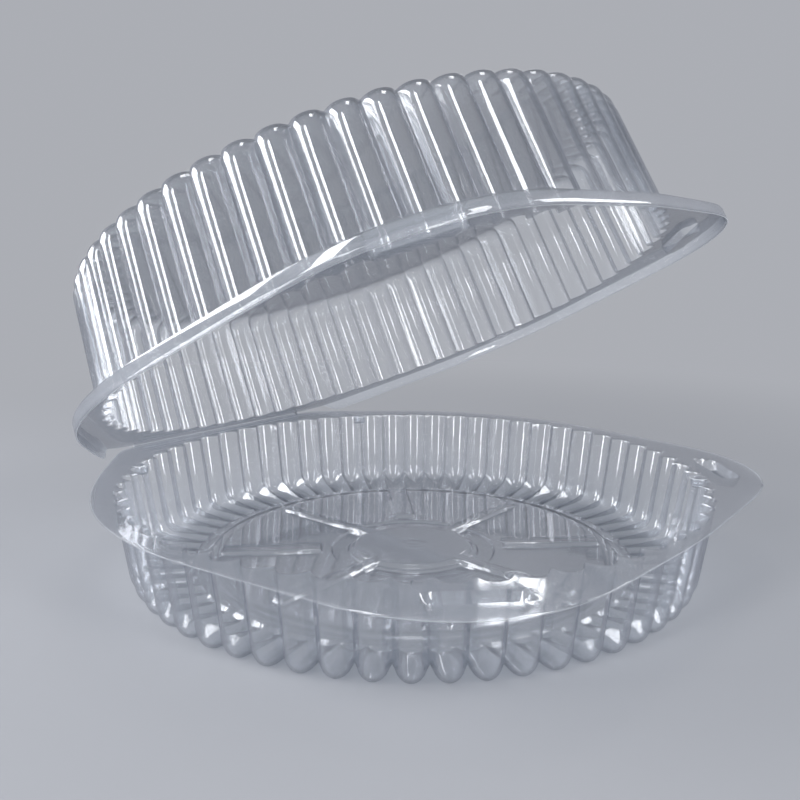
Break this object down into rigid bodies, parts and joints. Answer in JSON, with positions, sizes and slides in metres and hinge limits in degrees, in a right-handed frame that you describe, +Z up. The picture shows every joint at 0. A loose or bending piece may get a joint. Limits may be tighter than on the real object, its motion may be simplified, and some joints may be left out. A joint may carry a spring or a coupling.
{
  "type": "hinged round food pack",
  "caption": "Clear round food pack with a shallow fluted tray and a deep fluted dome lid, joined by a straight fold hinge.",
  "frame": {"origin": "on the table under the middle of the tray", "axes": "+Z up, +Y towards the hinge at the back, +X to the right seen from the front"},
  "size_m": [0.256, 0.26, 0.1857],
  "materials": {
    "clear_sheet": "clear glossy formed plastic sheet"
  },
  "bodies": {
    "tray": {"base_tray": "clear_sheet"},
    "lid": {"dome_lid": "clear_sheet"}
  },
  "joints": [
    {"name": "lid_fold", "type": "hinge", "parent": "tray", "child": "lid", "pos_m": [0, 0.1263, 0.03615], "axis": [-1, 0, 0], "range_deg": [-26, 120]}
  ]
}
